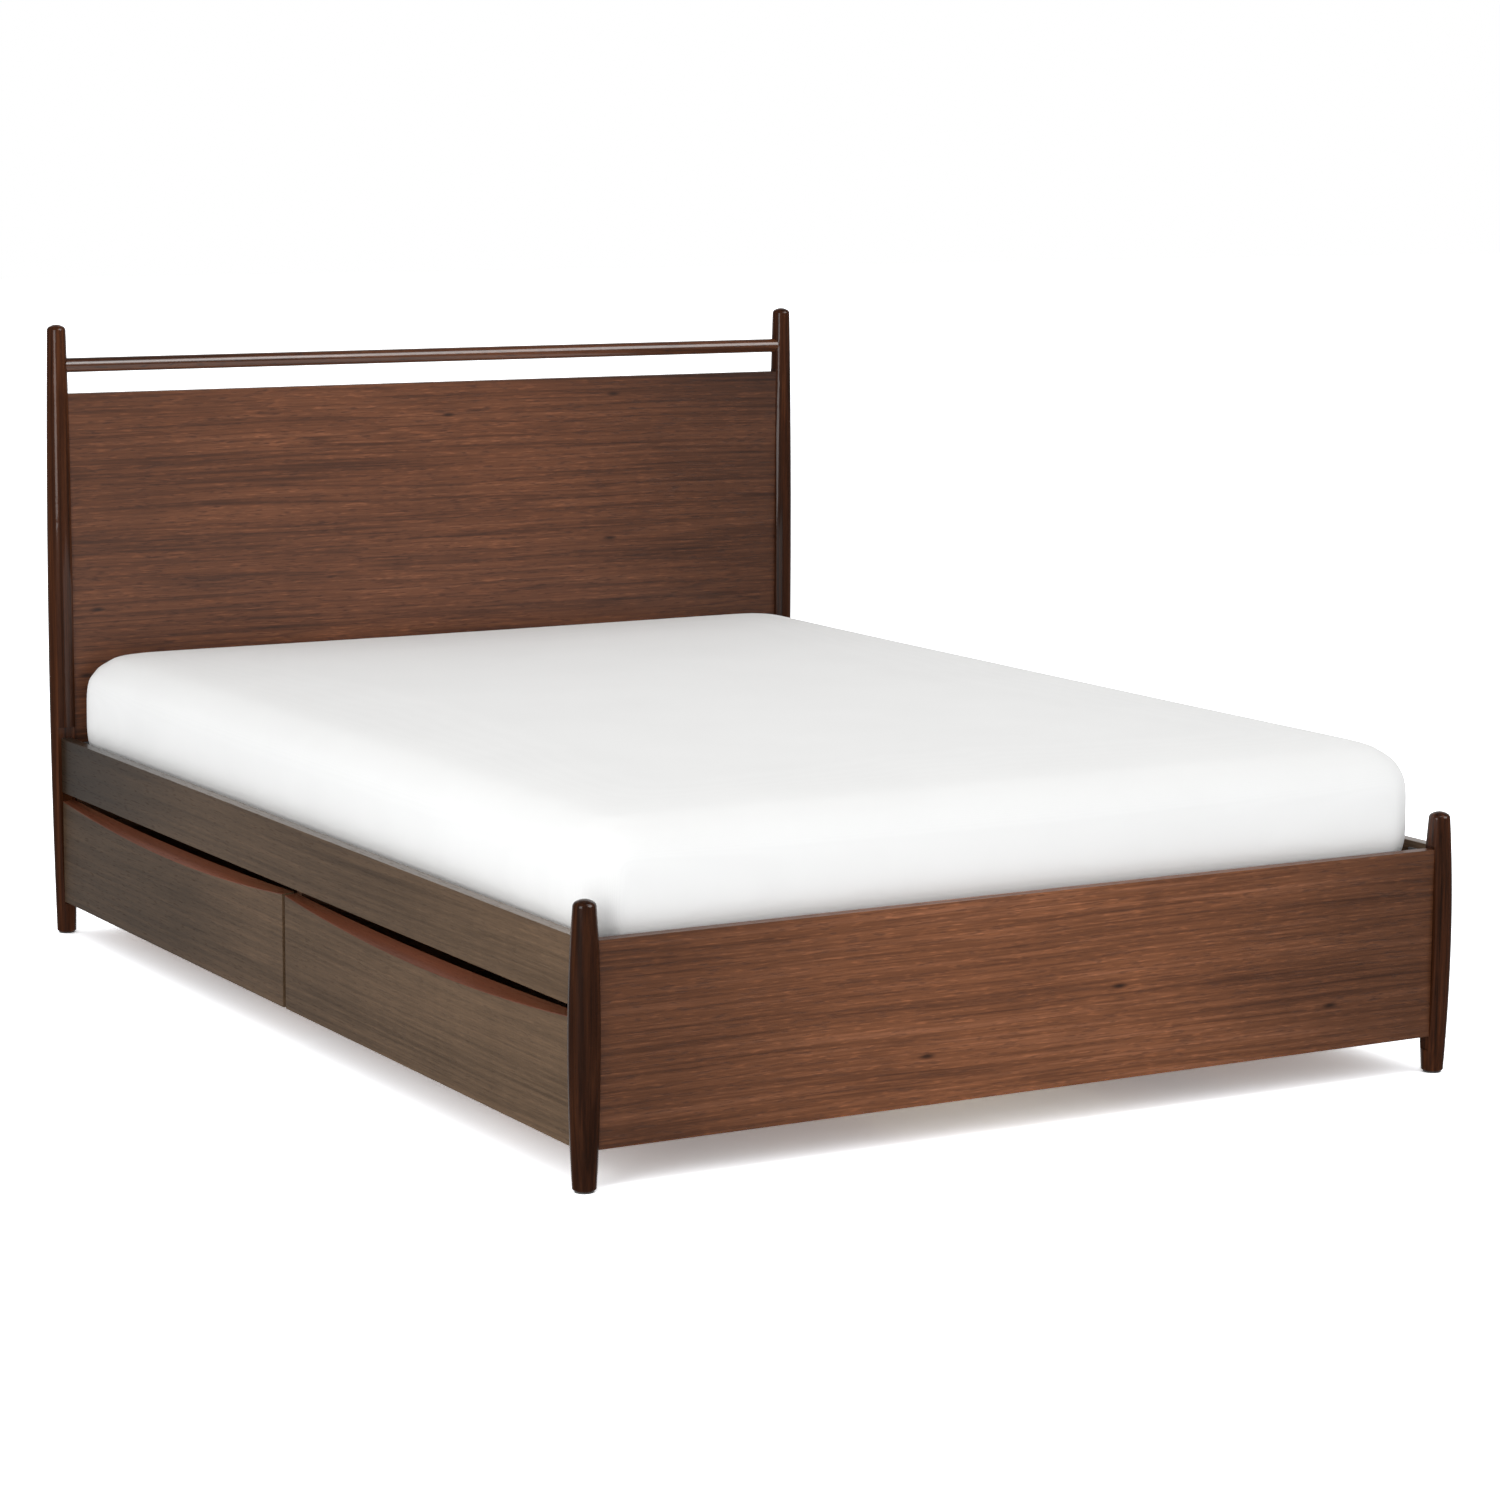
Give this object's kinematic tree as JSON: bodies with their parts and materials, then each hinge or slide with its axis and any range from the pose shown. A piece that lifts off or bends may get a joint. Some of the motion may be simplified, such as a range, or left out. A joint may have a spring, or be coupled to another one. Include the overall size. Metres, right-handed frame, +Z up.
{
  "type": "storage bed",
  "caption": "Walnut platform bed with turned legs, a panel headboard under a round rod, slatted base, mattress and full-length scooped drawers in both sides.",
  "frame": {"origin": "on the floor, under the middle of the bed", "axes": "+X across the bed to the right seen from the footboard, +Y from the footboard to the headboard, +Z up"},
  "size_m": [1.651, 2.211, 1.177],
  "materials": {
    "walnut": "satin lacquer on solid walnut",
    "walnut_veneer": "satin lacquer on walnut veneer",
    "drawer_box": "clear lacquered birch plywood",
    "pine": "planed pine",
    "dowel": "fluted beech",
    "steel": "zinc plated",
    "felt": "pressed felt",
    "sheet": "woven cotton sheet"
  },
  "bodies": {
    "bed_frame": {"headboard_leg_left": "walnut", "headboard_leg_right": "walnut", "headboard_panel": "walnut_veneer", "headboard_dowels": "dowel", "headboard_rod": "walnut", "footboard_leg_left": "walnut", "footboard_leg_right": "walnut", "footboard_panel": "walnut_veneer", "footboard_dowels": "dowel", "side_rail_left": "walnut_veneer", "side_rail_right": "walnut_veneer", "slat_ledger_left": "pine", "slat_ledger_right": "pine", "bulkhead_foot": "drawer_box", "bulkhead_middle": "drawer_box", "bulkhead_head": "drawer_box", "centre_beam": "pine", "centre_post_foot": "pine", "centre_post_head": "pine", "slats": "pine", "corner_brackets": "steel", "bracket_bolts": "steel", "felt_glides": "felt", "drawer_left_foot_runner_outer": "steel", "drawer_left_head_runner_outer": "steel", "drawer_right_foot_runner_outer": "steel", "drawer_right_head_runner_outer": "steel"},
    "drawer_left_foot": {"drawer_left_foot_front": "walnut_veneer", "drawer_left_foot_back": "drawer_box", "drawer_left_foot_bottom": "drawer_box", "drawer_left_foot_side_a": "drawer_box", "drawer_left_foot_side_b": "drawer_box", "drawer_left_foot_runner_inner": "steel"},
    "runner_left_foot": {"drawer_left_foot_runner_middle": "steel"},
    "drawer_left_head": {"drawer_left_head_front": "walnut_veneer", "drawer_left_head_back": "drawer_box", "drawer_left_head_bottom": "drawer_box", "drawer_left_head_side_a": "drawer_box", "drawer_left_head_side_b": "drawer_box", "drawer_left_head_runner_inner": "steel"},
    "runner_left_head": {"drawer_left_head_runner_middle": "steel"},
    "drawer_right_foot": {"drawer_right_foot_front": "walnut_veneer", "drawer_right_foot_back": "drawer_box", "drawer_right_foot_bottom": "drawer_box", "drawer_right_foot_side_a": "drawer_box", "drawer_right_foot_side_b": "drawer_box", "drawer_right_foot_runner_inner": "steel"},
    "runner_right_foot": {"drawer_right_foot_runner_middle": "steel"},
    "drawer_right_head": {"drawer_right_head_front": "walnut_veneer", "drawer_right_head_back": "drawer_box", "drawer_right_head_bottom": "drawer_box", "drawer_right_head_side_a": "drawer_box", "drawer_right_head_side_b": "drawer_box", "drawer_right_head_runner_inner": "steel"},
    "runner_right_head": {"drawer_right_head_runner_middle": "steel"},
    "mattress": {"mattress": "sheet"}
  },
  "joints": [
    {"name": "drawer_left_foot_slide", "type": "slide", "parent": "bed_frame", "child": "drawer_left_foot", "axis": [-1, 0, 0], "range_m": [0, 0.5]},
    {"name": "runner_left_foot_slide", "type": "slide", "parent": "bed_frame", "child": "runner_left_foot", "axis": [-1, 0, 0], "range_m": [0, 0.25]},
    {"name": "drawer_left_head_slide", "type": "slide", "parent": "bed_frame", "child": "drawer_left_head", "axis": [-1, 0, 0], "range_m": [0, 0.5]},
    {"name": "runner_left_head_slide", "type": "slide", "parent": "bed_frame", "child": "runner_left_head", "axis": [-1, 0, 0], "range_m": [0, 0.25]},
    {"name": "drawer_right_foot_slide", "type": "slide", "parent": "bed_frame", "child": "drawer_right_foot", "axis": [1, 0, 0], "range_m": [0, 0.5]},
    {"name": "runner_right_foot_slide", "type": "slide", "parent": "bed_frame", "child": "runner_right_foot", "axis": [1, 0, 0], "range_m": [0, 0.25]},
    {"name": "drawer_right_head_slide", "type": "slide", "parent": "bed_frame", "child": "drawer_right_head", "axis": [1, 0, 0], "range_m": [0, 0.5]},
    {"name": "runner_right_head_slide", "type": "slide", "parent": "bed_frame", "child": "runner_right_head", "axis": [1, 0, 0], "range_m": [0, 0.25]},
    {"name": "mattress_lift", "type": "slide", "parent": "bed_frame", "child": "mattress", "axis": [0, 0, 1], "range_m": [0, 0.35]}
  ],
  "couplings": [
    {"joint": "runner_left_foot_slide", "follows": "drawer_left_foot_slide", "ratio": 0.5},
    {"joint": "runner_left_head_slide", "follows": "drawer_left_head_slide", "ratio": 0.5},
    {"joint": "runner_right_foot_slide", "follows": "drawer_right_foot_slide", "ratio": 0.5},
    {"joint": "runner_right_head_slide", "follows": "drawer_right_head_slide", "ratio": 0.5}
  ]
}
